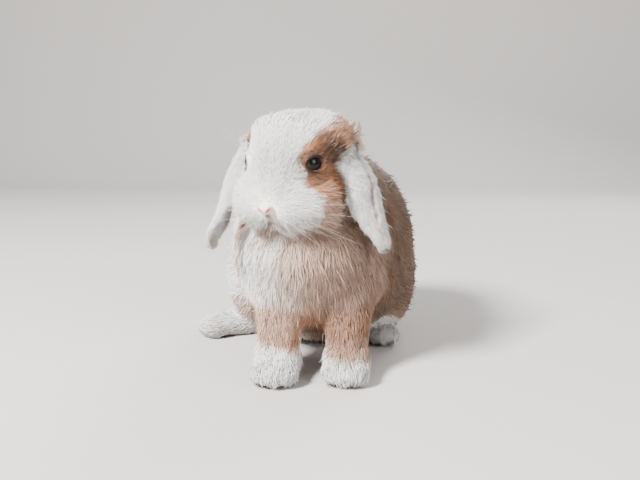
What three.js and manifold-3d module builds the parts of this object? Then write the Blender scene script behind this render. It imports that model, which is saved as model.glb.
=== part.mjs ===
// A lop rabbit sitting on its hind feet with both forepaws on the ground, at life size.
// Millimetres, +Z up. It faces -Y, and its own left side is towards +X.
// The body is a blend of rounded masses (skull, cheeks, chest, haunches, legs), out to the tips
// of the coat. It is parted into its named regions by thin gaps.
import * as THREE from 'three';
import { mergeVertices } from 'three/addons/utils/BufferGeometryUtils.js';
import Module from 'manifold-3d';

const wasm = await Module();
wasm.setup();

// ---- Driving dimensions ----

const GAP = 0.3;                       // clear space kept between neighbouring regions
const SIDES = [-1, 1];                 // the rabbit's right, then its left
const SIDE_NAME = { '-1': 'right', 1: 'left' };

// Where the whole animal stands: the middle of its outline on the ground is at the origin.
const STANCE = [16.9, -32.7, 0];

// The head is turned to the rabbit's right and dips forward.
const HEAD_AT = [-12, -50, 167];
const HEAD_YAW = -22;
const HEAD_PITCH = 24;
const SKULL_RADII = [42, 42, 36];
const EYE_AT = [22.4, -21.4, 14.7];    // left eye in the head's own axes; the right one mirrors it
const EYE_RADIUS = 8.5;
const NOSE_AT = [0, -56, -4.5];
const NOSE_RADII = [5, 4, 3.5];

const TRUNK_AT = [-2, 55, 90];
const TRUNK_RADII = [84, 90, 92];
const CHEST_AT = [-5, -12, 98];
const CHEST_RADII = [61, 60, 66];
const RUFF_AT = [-7, -44, 110];
const RUFF_RADII = [43, 33, 36];
const RUMP_AT = [-2, 98, 66];
const RUMP_RADII = [74, 52, 68];

const NAPE_FROM = [-2, 0, 135];
const NAPE_TO = [-10, -36, 163];
const NAPE_THICK = [50, 38];

const TAIL = { at: [-2, 150, 50], radii: [17, 16, 25], pitch: -15 };
const THIGH_RADII = [32, 56, 52];
const THIGH_PITCH = -10;
const FORELEG_THICK = [24, 17];        // radius at the elbow and at the wrist
const FOREPAW_RADII = [19, 25, 14];
const TOE_RADIUS = 8.5;
const TOE_SPREAD = [-10.5, -3.6, 3.6, 10.5];
const HIND_TOE_SPREAD = [-7, -2.4, 2.4, 7];

// Each side's limbs, as they are placed in this pose.
const LIMBS = {
  '-1': {
    elbow: [-27, -36, 74], wrist: [-29, -54, 24], paw: [-29, -63, 13],
    thigh: [-64, 76, 56],
    foot: { at: [-74, 62, 12], radii: [17, 48, 14], yaw: -58 },
  },
  1: {
    elbow: [25, -32, 74], wrist: [26, -48, 24], paw: [26, -57, 13],
    thigh: [54, 78, 56],
    foot: { at: [50, 66, 12], radii: [17, 46, 14], yaw: 8 },
  },
};

// An ear hangs through five stations: place, half width, half thickness and the way its flat faces.
const EAR_THICKS = [8.5, 8, 7, 6, 5];
const EAR_LINES = {
  '-1': {
    places: [[-37, -31, 190], [-52, -39, 178], [-64, -47, 155], [-70, -55, 132], [-76, -62, 117]],
    widths: [13, 18, 18, 17, 11],
    facing: [[-0.5, -0.25, 0.8], [-0.86, -0.42, 0.35], [-0.9, -0.42, 0], [-0.97, -0.18, 0],
      [-1, 0.06, 0.1]],
  },
  1: {
    places: [[17, -49, 193], [22, -61, 177], [35, -63, 155], [44, -65, 132], [52, -66, 114]],
    widths: [14, 18.5, 20, 14.5, 8.5],
    facing: [[0.5, -0.4, 0.75], [0.72, -0.6, 0.35], [0.74, -0.67, 0], [0.74, -0.67, 0],
      [0.74, -0.67, 0.1]],
  },
};
const EAR_STEPS = 12;                  // rings along an ear
const EAR_ROUND = 10;                  // points round a ring
const EAR_CAPS = 3;                    // steps over the rounded end of an ear
const CAPSULE_BEVEL = 0.7;             // how far along its radius a limb region's end is bevelled

// How softly each mass runs into the ones before it.
const SOFT_FACE = 14;
const SOFT_LIPS = 9;
const SOFT_CHIN = 8;
const SOFT_CHEST = 30;
const SOFT_RUFF = 22;
const SOFT_NECK = 24;
const SOFT_HEAD = 12;
const SOFT_THIGH = 10;
const SOFT_FORELEG = 14;
const SOFT_PAW = 10;
const SOFT_TOE = 5;

// How far a region reaches past the masses it is named for.
const LEG_MARGIN = 4;
const PAW_MARGIN = 4;
const THIGH_MARGIN = 5;
const HEAD_REGION = { at: [-13.5, -53.5, 167.2], radii: [54, 62, 46] };
const NECK_REGION = { at: [-6, -22, 146], radii: [60, 42, 42] };

// Facet sizes.
const FINE = 7.7;
const MIDDLE = 10;
const COARSE = 19.6;
const REGION_FACETS = [10, 7];
const HEAD_FACETS = [14, 9];
const EYE_FACETS = [10, 7];
const NECK_FACETS = 12;
const NET_ROOM = 2.4;                  // cells left free round a foot's net
const LIMB_ROOM = 2;                   // and round a limb's
const HEAD_REACH = 72;                 // half the size of the box that a part's net is made in
const NECK_REACH = 80;
const TAIL_REACH = 45;
const TRUNK_BOX = [[-130, -120, -30], [115, 190, 230]];
const FLOOR_SIZE = 800;

// Small steps used to find slopes and to bring net points onto the surface.
const SLOPE_STEP = 0.05;
const NORMAL_STEP = 0.5;
const SETTLE_ROUNDS = 4;
const SETTLE_MARGIN = 1 / 16;          // share of a cell kept between its point and its sides
const TINY = 1e-9;

// ---- Shapes as signed distances: a shape is a function of (x, y, z), negative inside ----

function placeOf(at, yaw, pitch) {
  const turn = new THREE.Euler(
    THREE.MathUtils.degToRad(pitch), 0, THREE.MathUtils.degToRad(yaw), 'ZXY');
  return new THREE.Matrix4().makeRotationFromEuler(turn).setPosition(...at);
}

function inPlace(shape, at, yaw = 0, pitch = 0) {
  const m = placeOf(at, yaw, pitch).invert().elements;
  return (x, y, z) => shape(
    m[0] * x + m[4] * y + m[8] * z + m[12],
    m[1] * x + m[5] * y + m[9] * z + m[13],
    m[2] * x + m[6] * y + m[10] * z + m[14]);
}

function ellipsoid([a, b, c]) {
  return (x, y, z) => {
    const reach = Math.hypot(x / a, y / b, z / c);
    const slope = Math.hypot(x / (a * a), y / (b * b), z / (c * c));
    return reach * (reach - 1) / Math.max(slope, TINY);
  };
}

const mass = (at, radii, yaw = 0, pitch = 0) => inPlace(ellipsoid(radii), at, yaw, pitch);

function taper(from, to, [startRadius, endRadius]) {
  const along = to.map((value, i) => value - from[i]);
  const lengthSquared = along.reduce((sum, value) => sum + value * value, 0);
  return (x, y, z) => {
    const dx = x - from[0];
    const dy = y - from[1];
    const dz = z - from[2];
    const dot = (dx * along[0] + dy * along[1] + dz * along[2]) / lengthSquared;
    const t = Math.min(Math.max(dot, 0), 1);
    const away = Math.hypot(dx - t * along[0], dy - t * along[1], dz - t * along[2]);
    return away - (startRadius + (endRadius - startRadius) * t);
  };
}

function blend(softness, ...shapes) {
  return (x, y, z) => {
    let nearest = shapes[0](x, y, z);
    for (let i = 1; i < shapes.length; i += 1) {
      const next = shapes[i](x, y, z);
      const overlap = Math.max(softness - Math.abs(nearest - next), 0) / softness;
      nearest = Math.min(nearest, next) - overlap * overlap * softness / 4;
    }
    return nearest;
  };
}

const swollen = (shape, margin) => (x, y, z) => shape(x, y, z) - margin;

// ---- The masses of the rabbit ----

const onHead = (shape) => inPlace(shape, HEAD_AT, HEAD_YAW, HEAD_PITCH);
const pair = (x, y, z, radii) => SIDES.map((side) => mass([side * x, y, z], radii));

const skull = blend(SOFT_FACE,
  mass([0, 8, 4], SKULL_RADII),
  ...pair(23, 9, 17, [18, 22, 18]),    // rises that the ears grow from
  mass([0, -12, 13], [27, 28, 24]),    // forehead
  ...pair(21, -5, -13, [24, 32, 26]),  // cheeks
  mass([0, -29, -6], [22, 27, 20]));   // bridge of the nose
const jowls = blend(SOFT_HEAD, skull, ...pair(25, -24, -12, [20, 25, 17]));
const muzzle = blend(SOFT_LIPS, jowls, ...pair(12, -42, -12, [16, 14, 12]));
const head = onHead(blend(SOFT_CHIN, muzzle, mass([0, -37, -22], [13, 13, 8])));

const torso = blend(SOFT_CHEST,
  blend(SOFT_RUFF,
    blend(SOFT_CHEST, mass(TRUNK_AT, TRUNK_RADII), mass(CHEST_AT, CHEST_RADII)),
    mass(RUFF_AT, RUFF_RADII)),
  mass(RUMP_AT, RUMP_RADII));
const nape = taper(NAPE_FROM, NAPE_TO, NAPE_THICK);

const legOf = ({ elbow, wrist }) => taper(elbow, wrist, FORELEG_THICK);

function pawOf({ paw: [x, y, z] }) {
  const front = y - FOREPAW_RADII[1] + TOE_RADIUS;
  const toes = TOE_SPREAD.map((across) => mass(
    [x + across, front + Math.abs(across) / 3, z - 3], [TOE_RADIUS, TOE_RADIUS * 1.2, TOE_RADIUS]));
  return blend(SOFT_TOE, mass([x, y, z], FOREPAW_RADII), ...toes);
}

const thighOf = ({ thigh }) => mass(thigh, THIGH_RADII, 0, THIGH_PITCH);

function footOf({ foot }) {
  const front = TOE_RADIUS - foot.radii[1];
  const toes = HIND_TOE_SPREAD.map((across) => mass(
    [across, front + Math.abs(across) / 2, -2], [TOE_RADIUS, TOE_RADIUS * 1.4, TOE_RADIUS]));
  return inPlace(blend(SOFT_TOE, ellipsoid(foot.radii), ...toes), foot.at, foot.yaw);
}

const tail = mass(TAIL.at, TAIL.radii, 0, TAIL.pitch);
const limbs = (make) => SIDES.map((side) => make(LIMBS[side]));
const forelimbOf = (limb) => blend(SOFT_PAW, legOf(limb), pawOf(limb));

const joined = (first, steps) => steps.reduce(
  (sum, [softness, shape]) => blend(softness, sum, shape), first);
const soft = (softness, shapes) => shapes.map((shape) => [softness, shape]);

const bulk = joined(torso, [[SOFT_NECK, nape], [SOFT_HEAD, head], ...soft(SOFT_THIGH, limbs(thighOf))]);
const body = joined(bulk, soft(SOFT_FORELEG, limbs(forelimbOf)));
const trunkForm = joined(bulk, soft(SOFT_FORELEG, limbs(legOf)));

// ---- From a signed distance to a closed net of facets ----

const CORNERS = [0, 1, 2, 3, 4, 5, 6, 7].map((i) => [i & 1, (i >> 1) & 1, (i >> 2) & 1]);
const EDGES = CORNERS.flatMap((corner, i) => [1, 2, 4]
  .filter((bit) => !(i & bit))
  .map((bit) => [i, i | bit]));

// Moves a point onto the surface, keeping it well inside its own cell.
function settle(shape, point, corner, cell) {
  const step = SLOPE_STEP;
  const margin = cell * SETTLE_MARGIN;
  for (let round = 0; round < SETTLE_ROUNDS; round += 1) {
    const [x, y, z] = point;
    const value = shape(x, y, z);
    const slope = [
      (shape(x + step, y, z) - shape(x - step, y, z)) / (2 * step),
      (shape(x, y + step, z) - shape(x, y - step, z)) / (2 * step),
      (shape(x, y, z + step) - shape(x, y, z - step)) / (2 * step),
    ];
    const steepness = slope.reduce((sum, value) => sum + value * value, 0);
    slope.forEach((rise, i) => {
      const moved = point[i] - value * rise / Math.max(steepness, TINY);
      point[i] = Math.min(Math.max(moved, corner[i] + margin), corner[i] + cell - margin);
    });
  }
  return point;
}

// A shape closed off just inside the box that it is measured in.
function boxed(shape, low, high, margin) {
  return (x, y, z) => Math.max(shape(x, y, z),
    low[0] + margin - x, low[1] + margin - y, low[2] + margin - z,
    x - high[0] + margin, y - high[1] + margin, z - high[2] + margin);
}

// One point in each cell that the surface crosses, and a quad round each edge it crosses.
function netOf(open, low, high, cell) {
  const shape = boxed(open, low, high, cell);
  const size = low.map((value, i) => Math.ceil((high[i] - value) / cell) + 1);
  const at = (i, j, k) => i + size[0] * (j + size[1] * k);
  const place = (i, axis) => low[axis] + i * cell;
  const values = new Float64Array(size[0] * size[1] * size[2]);
  for (let k = 0; k < size[2]; k += 1) {
    for (let j = 0; j < size[1]; j += 1) {
      for (let i = 0; i < size[0]; i += 1) {
        values[at(i, j, k)] = shape(place(i, 0), place(j, 1), place(k, 2));
      }
    }
  }
  const points = [];
  const pointIn = new Map();
  for (let k = 0; k < size[2] - 1; k += 1) {
    for (let j = 0; j < size[1] - 1; j += 1) {
      for (let i = 0; i < size[0] - 1; i += 1) {
        const corner = CORNERS.map(([a, b, c]) => values[at(i + a, j + b, k + c)]);
        const crossed = EDGES.filter(([a, b]) => (corner[a] < 0) !== (corner[b] < 0));
        if (crossed.length === 0) continue;
        const sum = [0, 0, 0];
        crossed.forEach(([a, b]) => {
          const t = corner[a] / (corner[a] - corner[b]);
          sum.forEach((_, axis) => {
            const from = CORNERS[a][axis];
            sum[axis] += from + (CORNERS[b][axis] - from) * t;
          });
        });
        const middle = [i, j, k].map((index, axis) => (
          place(index + sum[axis] / crossed.length, axis)));
        pointIn.set(at(i, j, k), points.length / 3);
        points.push(...settle(shape, middle, [place(i, 0), place(j, 1), place(k, 2)], cell));
      }
    }
  }
  const triangles = [];
  const steps = [at(1, 0, 0), at(0, 1, 0), at(0, 0, 1)];
  pointIn.forEach((_, cellIndex) => {
    steps.forEach((step, axis) => {
      const inside = values[cellIndex] < 0;
      if (inside === (values[cellIndex + step] < 0)) return;
      const [u, v] = [steps[(axis + 1) % 3], steps[(axis + 2) % 3]];
      const ring = [0, -u, -u - v, -v].map((shift) => pointIn.get(cellIndex + shift));
      const [a, b, c, d] = inside ? ring : [...ring].reverse();
      triangles.push(a, b, c, a, c, d);
    });
  });
  return { points: Float32Array.from(points), triangles: Uint32Array.from(triangles) };
}

// The same net with every point moved out along its normal.
function moved(net, shape, distance) {
  const step = NORMAL_STEP;
  const points = Float32Array.from(net.points);
  for (let i = 0; i < points.length; i += 3) {
    const [x, y, z] = net.points.slice(i, i + 3);
    const out = new THREE.Vector3(
      shape(x + step, y, z) - shape(x - step, y, z),
      shape(x, y + step, z) - shape(x, y - step, z),
      shape(x, y, z + step) - shape(x, y, z - step)).normalize().multiplyScalar(distance);
    points[i] += out.x;
    points[i + 1] += out.y;
    points[i + 2] += out.z;
  }
  return { points, triangles: net.triangles };
}

// ---- Solids ----

const solidOf = ({ points, triangles }) => new wasm.Manifold(
  new wasm.Mesh({ numProp: 3, vertProperties: points, triVerts: triangles }));

function solidOfGeometry(geometry) {
  const bare = geometry.clone();
  bare.deleteAttribute('normal');
  bare.deleteAttribute('uv');
  const merged = mergeVertices(bare);
  return solidOf({
    points: Float32Array.from(merged.attributes.position.array),
    triangles: Uint32Array.from(merged.index.array),
  });
}

const ground = solidOfGeometry(
  new THREE.BoxGeometry(FLOOR_SIZE, FLOOR_SIZE, FLOOR_SIZE).translate(0, 0, -FLOOR_SIZE / 2));

const without = (solid, others) => others.reduce((left, other) => left.subtract(other), solid);

function largest(solid) {
  const pieces = solid.decompose();
  return pieces.reduce((best, piece) => (piece.volume() > best.volume() ? piece : best));
}

// The box round some places, with that much room on every side.
function boxRound(places, reach) {
  const low = [0, 1, 2].map((i) => Math.min(...places.map((place) => place[i])) - reach);
  const high = [0, 1, 2].map((i) => Math.max(...places.map((place) => place[i])) + reach);
  return [low, high];
}

// ---- Regions: a rounded solid round each part, and the same grown by the gap ----

function ball(radii, { at, yaw = 0, pitch = 0 }, [round, rings] = REGION_FACETS) {
  const geometry = new THREE.SphereGeometry(1, round, rings);
  geometry.rotateX(Math.PI / 2);
  geometry.scale(...radii);
  return solidOfGeometry(geometry.applyMatrix4(placeOf(at, yaw, pitch)));
}

function capsule([from, to], radii) {
  const [start, end] = [from, to].map((place) => new THREE.Vector3(...place));
  const length = start.distanceTo(end);
  const [low, high] = radii.map((radius) => radius * CAPSULE_BEVEL);
  const outline = [[0, -radii[0]], [low, -low], [radii[0], 0], [radii[1], length]];
  outline.push([high, length + high], [0, length + radii[1]]);
  const geometry = new THREE.LatheGeometry(
    outline.map((point) => new THREE.Vector2(...point)), REGION_FACETS[0]);
  const turn = new THREE.Quaternion().setFromUnitVectors(
    new THREE.Vector3(0, 1, 0), end.clone().sub(start).normalize());
  geometry.applyQuaternion(turn).translate(...from);
  return solidOfGeometry(geometry);
}

// A flat, bent blade with an elliptical section: rings along its curve, closed to a point at each
// end over a rounded cap.
function blade({ places, widths, facing }, thicks) {
  const curveOf = (rows) => new THREE.CatmullRomCurve3(
    rows.map((row) => new THREE.Vector3(...row)), false, 'catmullrom', 0.5);
  const middle = curveOf(places);
  const section = curveOf(widths.map((width, i) => [width, thicks[i], 0]));
  const face = curveOf(facing);
  const rings = [];
  const addRing = (t, past, shrink) => {
    const along = middle.getTangent(t);
    const at = middle.getPoint(t).addScaledVector(along, past);
    const across = new THREE.Vector3().crossVectors(along, face.getPoint(t)).normalize();
    const through = new THREE.Vector3().crossVectors(across, along).normalize();
    const { x: width, y: thick } = section.getPoint(t).multiplyScalar(shrink);
    rings.push(Array.from({ length: EAR_ROUND }, (_, i) => {
      const angle = (i / EAR_ROUND) * 2 * Math.PI;
      return at.clone().addScaledVector(across, Math.cos(angle) * width)
        .addScaledVector(through, Math.sin(angle) * thick).toArray();
    }));
  };
  const cap = Array.from({ length: EAR_CAPS - 1 }, (_, i) => ((i + 1) / EAR_CAPS) * (Math.PI / 2));
  [...cap].reverse().forEach((angle) => addRing(0, -widths[0] * Math.sin(angle), Math.cos(angle)));
  for (let step = 0; step <= EAR_STEPS; step += 1) addRing(step / EAR_STEPS, 0, 1);
  cap.forEach((angle) => addRing(1, widths.at(-1) * Math.sin(angle), Math.cos(angle)));
  const points = rings.flat(2);
  const tips = [0, 1].map((t) => middle.getPoint(t).addScaledVector(
    middle.getTangent(t), t === 0 ? -widths[0] : widths.at(-1)));
  const tipIndex = rings.length * EAR_ROUND;
  points.push(...tips[0].toArray(), ...tips[1].toArray());
  const triangles = [];
  for (let i = 0; i < EAR_ROUND; i += 1) {
    const next = (i + 1) % EAR_ROUND;
    for (let ring = 0; ring < rings.length - 1; ring += 1) {
      const [a, b] = [ring * EAR_ROUND + i, ring * EAR_ROUND + next];
      triangles.push(b, a, a + EAR_ROUND, b, a + EAR_ROUND, b + EAR_ROUND);
    }
    const last = (rings.length - 1) * EAR_ROUND;
    triangles.push(i, next, tipIndex, last + next, last + i, tipIndex + 1);
  }
  return solidOf({ points: Float32Array.from(points), triangles: Uint32Array.from(triangles) });
}

const wider = (radii, margin) => radii.map((radius) => radius + margin);

function region(make, radii, margin) {
  return { own: make(wider(radii, margin)), cleared: make(wider(radii, margin + GAP)) };
}

// The outer form within a box, at a facet size of its own.
function formIn([low, high], cell, shape = body) {
  const net = netOf(shape, low, high, cell);
  return { own: solidOf(net).subtract(ground), cleared: solidOf(moved(net, shape, GAP)) };
}

// ---- Colours ----

const look = (color, roughness = 0.9) => new THREE.MeshStandardMaterial(
  { color, roughness, metalness: 0 });
const WHITE_COAT = '#efe9e2';
const CREAM_COAT = '#dccab8';
const TAN_COAT = '#c39a76';
const GREY_BROWN_COAT = '#8d7561';
const EYE_BROWN = '#20120b';
const NOSE_PINK = '#d99a92';

// ---- Building up the animal: each part is cut clear of the regions already given out ----

const rabbit = new THREE.Group();
rabbit.position.set(...STANCE);
const given = [];

function addPart(name, solid, material) {
  const mesh = largest(solid).getMesh();
  const geometry = new THREE.BufferGeometry();
  geometry.setAttribute('position', new THREE.BufferAttribute(mesh.vertProperties, 3));
  geometry.setIndex(new THREE.BufferAttribute(mesh.triVerts, 1));
  geometry.computeVertexNormals();
  const part = new THREE.Mesh(geometry, material);
  part.name = name;
  rabbit.add(part);
}

function addRegion(name, form, { own, cleared }, material) {
  addPart(name, without(form.own.intersect(own), given), material);
  given.push(cleared);
}

// A part that stands out whole: everything added later is cut clear of it.
function addWhole(name, shape, box, cell, material) {
  const form = formIn(box, cell, shape);
  addPart(name, without(form.own, given), material);
  given.push(form.cleared);
}

// ---- Eyes, nose, head and ears ----

const headPlace = placeOf(HEAD_AT, HEAD_YAW, HEAD_PITCH);

function headBall(at, radii, gap) {
  const middle = new THREE.Vector3(...at).applyMatrix4(headPlace);
  const place = { at: middle.toArray(), yaw: HEAD_YAW, pitch: HEAD_PITCH };
  return ball(wider(radii, gap), place, EYE_FACETS);
}

function addHeadBall(name, at, radii, material) {
  addPart(name, headBall(at, radii, 0), material);
  given.push(headBall(at, radii, GAP));
}

SIDES.forEach((side) => addHeadBall(
  `eye_${SIDE_NAME[side]}`, [side * EYE_AT[0], EYE_AT[1], EYE_AT[2]],
  [EYE_RADIUS, EYE_RADIUS, EYE_RADIUS], look(EYE_BROWN, 0.08)));
addHeadBall('nose', NOSE_AT, NOSE_RADII, look(NOSE_PINK, 0.5));

const headForm = formIn(boxRound([HEAD_AT], HEAD_REACH), FINE);
addRegion('head', headForm, region((radii) => ball(
  radii, { ...HEAD_REGION, yaw: HEAD_YAW, pitch: HEAD_PITCH }, HEAD_FACETS),
HEAD_REGION.radii, 0), look(WHITE_COAT));

const trunk = formIn(TRUNK_BOX, COARSE, trunkForm);
SIDES.forEach((side) => addPart(`ear_${SIDE_NAME[side]}`, without(
  blade(EAR_LINES[side], EAR_THICKS), [headForm.cleared, trunk.cleared]),
look(WHITE_COAT)));

// ---- Feet, legs, tail, neck and trunk ----

function addLimb(kind, place, make, radii, margin, cell, material) {
  SIDES.forEach((side) => {
    const limb = LIMBS[side];
    const places = place(limb);
    const reach = Math.max(...radii(limb)) + margin + LIMB_ROOM * cell;
    addRegion(`${kind}_${SIDE_NAME[side]}`, formIn(boxRound(places, reach), cell),
      region((size) => make(size, limb), radii(limb), margin), material);
  });
}

addLimb('forepaw', (limb) => [limb.paw],
  (radii, limb) => ball(radii, { at: limb.paw }),
  () => FOREPAW_RADII, PAW_MARGIN, FINE, look(WHITE_COAT));
SIDES.forEach((side) => {
  const { foot } = LIMBS[side];
  addWhole(`hindfoot_${SIDE_NAME[side]}`, footOf(LIMBS[side]),
    boxRound([foot.at], foot.radii[1] + NET_ROOM * FINE), FINE, look(WHITE_COAT));
});
addLimb('foreleg', (limb) => [limb.elbow, limb.wrist],
  (radii, limb) => capsule([limb.elbow, limb.wrist], radii),
  () => FORELEG_THICK, LEG_MARGIN, MIDDLE, look(TAN_COAT));
addLimb('thigh', (limb) => [limb.thigh],
  (radii, limb) => ball(radii, { at: limb.thigh, pitch: THIGH_PITCH }),
  () => THIGH_RADII, THIGH_MARGIN, COARSE, look(CREAM_COAT));

addWhole('tail', tail, boxRound([TAIL.at], TAIL_REACH), FINE, look(TAN_COAT));
addRegion('neck', formIn(boxRound([NECK_REGION.at], NECK_REACH), NECK_FACETS),
  region((radii) => ball(radii, NECK_REGION), NECK_REGION.radii, 0), look(CREAM_COAT));
addPart('trunk', without(trunk.own, given), look(GREY_BROWN_COAT));

export default rabbit;
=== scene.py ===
import math

import bpy
import numpy as np
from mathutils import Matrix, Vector, kdtree


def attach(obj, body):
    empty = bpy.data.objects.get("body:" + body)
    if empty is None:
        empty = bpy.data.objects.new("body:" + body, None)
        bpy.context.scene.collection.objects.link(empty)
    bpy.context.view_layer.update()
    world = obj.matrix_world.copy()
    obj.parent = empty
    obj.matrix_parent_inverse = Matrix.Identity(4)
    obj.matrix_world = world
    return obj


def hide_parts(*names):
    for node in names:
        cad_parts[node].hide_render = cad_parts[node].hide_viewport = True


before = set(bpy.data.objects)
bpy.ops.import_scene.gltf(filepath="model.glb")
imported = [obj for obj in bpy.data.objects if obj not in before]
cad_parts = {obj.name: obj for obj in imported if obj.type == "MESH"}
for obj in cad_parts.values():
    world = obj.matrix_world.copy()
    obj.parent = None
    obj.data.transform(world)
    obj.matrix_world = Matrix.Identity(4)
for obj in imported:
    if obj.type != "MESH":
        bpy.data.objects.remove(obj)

# A lop rabbit sitting with both forepaws on the ground, at life size. Lengths are millimetres in the
# animal's own axes (it faces -Y, its left side is towards +X, the ground is z = 0) and are turned into
# the frame's metres as each mesh is made.
MM = 0.001
STANCE = np.array([16.9, -32.7, 0.0])
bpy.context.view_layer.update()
rng = np.random.default_rng(7)

# ---- The masses of the body, out to the tips of the coat ----

SIDES = (-1, 1)  # the rabbit's right, then its left
SIDE_NAME = {-1: "right", 1: "left"}

HEAD_AT = np.array([-12.0, -50.0, 167.0])
HEAD_YAW, HEAD_PITCH = -22.0, 24.0
EYE_AT = np.array([22.4, -21.4, 14.7])  # left eye, in the head's own axes
EYE_RADIUS = 8.5
EYE_LOOK = np.array([0.86, -0.44, 0.24])  # the way the left eye faces, in the head's own axes
NOSE_AT = np.array([0.0, -56.0, -4.5])
NOSE_REACH = [0.75, 1, 1]  # scales distances from the nose, which is wider than tall

LIMBS = {
    -1: {
        "elbow": (-27, -36, 74), "wrist": (-29, -54, 24), "paw": (-29, -63, 13), "thigh": (-64, 76, 56),
        "foot": (-74, 62, 12), "foot_radii": (17, 48, 14), "foot_yaw": -58,
    },
    1: {
        "elbow": (25, -32, 74), "wrist": (26, -48, 24), "paw": (26, -57, 13), "thigh": (54, 78, 56),
        "foot": (50, 66, 12), "foot_radii": (17, 46, 14), "foot_yaw": 8,
    },
}
FORELEG_THICK = (24, 17)
FOREPAW_RADII = (19, 25, 14)
THIGH_RADII = (32, 56, 52)
TOE_RADIUS = 8.5
TOE_SPREAD = (-10.5, -3.6, 3.6, 10.5)
HIND_TOE_SPREAD = (-7, -2.4, 2.4, 7)
TAIL_AT, TAIL_RADII, TAIL_PITCH = (-2, 150, 50), (17, 16, 25), -15

EAR_STEPS = 12
EARS = {
    -1: {
        "places": ((-37, -31, 190), (-52, -39, 178), (-64, -47, 155), (-70, -55, 132), (-76, -62, 117)),
        "widths": (13, 18, 18, 17, 11),
        "facing": ((-0.5, -0.25, 0.8), (-0.86, -0.42, 0.35), (-0.9, -0.42, 0), (-0.97, -0.18, 0),
                   (-1, 0.06, 0.1)),
    },
    1: {
        "places": ((17, -49, 193), (22, -61, 177), (35, -63, 155), (44, -65, 132), (52, -66, 114)),
        "widths": (14, 18.5, 20, 14.5, 8.5),
        "facing": ((0.5, -0.4, 0.75), (0.72, -0.6, 0.35), (0.74, -0.67, 0), (0.74, -0.67, 0),
                   (0.74, -0.67, 0.1)),
    },
}
EAR_THICKS = (8.5, 8, 7, 6, 5)


def turn_of(yaw=0.0, pitch=0.0):
    """The axes of a mass that dips by pitch and is then turned by yaw, in degrees, as columns."""
    a, b = math.radians(yaw), math.radians(pitch)
    about_z = np.array([[math.cos(a), -math.sin(a), 0], [math.sin(a), math.cos(a), 0], [0, 0, 1]])
    about_x = np.array([[1, 0, 0], [0, math.cos(b), -math.sin(b)], [0, math.sin(b), math.cos(b)]])
    return about_z @ about_x


HEAD_TURN = turn_of(HEAD_YAW, HEAD_PITCH)


def to_head(p):
    return (p - HEAD_AT) @ HEAD_TURN


def from_head(q):
    return np.asarray(q, float) @ HEAD_TURN.T + HEAD_AT


def length(v):
    return np.sqrt((v * v).sum(-1))


def unit(v):
    return v / np.maximum(length(v), 1e-9)[..., None]


def mass(p, at, radii, turn=None):
    """Signed distance to an ellipsoid, negative inside."""
    q = p - np.asarray(at, float)
    if turn is not None:
        q = q @ turn
    radii = np.asarray(radii, float)
    reach = length(q / radii)
    return reach * (reach - 1) / np.maximum(length(q / radii**2), 1e-9)


def taper(p, start, end, radii):
    """Signed distance to a round limb that runs from one radius to another."""
    start, along = np.asarray(start, float), np.asarray(end, float) - np.asarray(start, float)
    t = np.clip((p - start) @ along / (along @ along), 0, 1)
    return length(p - start - t[..., None] * along) - (radii[0] + (radii[1] - radii[0]) * t)


def blend(a, b, softness):
    overlap = np.maximum(softness - np.abs(a - b), 0) / softness
    return np.minimum(a, b) - overlap * overlap * softness / 4


def carve(a, b, softness):
    """Shape a with shape b cut out of it, the edge rounded by softness."""
    return -blend(-a, b, softness)


def ramp(value, start, end):
    t = np.clip((value - start) / (end - start), 0, 1)
    return t * t * (3 - 2 * t)


def fade(value, start, end):
    return 1 - ramp(value, start, end)


def mix(a, b, share):
    return a * (1 - share) + b * share


def paint(a, b, share):
    """The same for colours or directions, with one share for each point."""
    share = np.asarray(share)[..., None]
    return np.asarray(a) * (1 - share) + np.asarray(b) * share


def layered(colour, *layers):
    """A colour with others laid over it in turn, each by its own share for each point."""
    for shade, share in layers:
        colour = paint(colour, shade, share)
    return colour


# Place, radii and softness of what swells from the skull, on both sides if off the midline.
HEAD_MASSES = (
    ((23, 9, 17), (18, 22, 18), 14),  # rises that the ears grow from
    ((0, -12, 13), (27, 28, 24), 14),  # forehead
    ((21, -5, -13), (24, 32, 26), 14),  # cheeks
    ((0, -29, -6), (22, 27, 20), 14),  # bridge of the nose
    ((25, -24, -12), (20, 25, 17), 12),  # jowls
    ((12, -42, -12), (16, 14, 12), 9),  # upper lips
    ((0, -37, -22), (13, 13, 8), 8),  # chin
)


def head(p):
    q = to_head(p)
    d = mass(q, (0, 8, 4), (42, 42, 36))
    for (across, ahead, up), radii, softness in HEAD_MASSES:
        for side in SIDES if across else (1,):
            d = blend(d, mass(q, (side * across, ahead, up), radii), softness)
    return d


def torso(p):
    d = blend(mass(p, (-2, 55, 90), (84, 90, 92)), mass(p, (-5, -12, 98), (61, 60, 66)), 30)
    d = blend(d, mass(p, (-7, -44, 110), (43, 33, 36)), 22)
    d = blend(d, mass(p, (-2, 98, 66), (74, 52, 68)), 30)
    return blend(d, taper(p, (-2, 0, 135), (-10, -36, 163), (50, 38)), 24)


def thigh(p, limb):
    return mass(p, limb["thigh"], THIGH_RADII, turn_of(pitch=-10))


def forepaw(p, limb):
    x, y, z = limb["paw"]
    d = mass(p, limb["paw"], FOREPAW_RADII)
    for across in TOE_SPREAD:
        toe = (x + across, y - FOREPAW_RADII[1] + TOE_RADIUS + abs(across) / 3, z - 3)
        d = blend(d, mass(p, toe, (TOE_RADIUS, TOE_RADIUS * 1.2, TOE_RADIUS)), 5)
    return d


def foreleg(p, limb):
    return taper(p, limb["elbow"], limb["wrist"], FORELEG_THICK)


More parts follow.
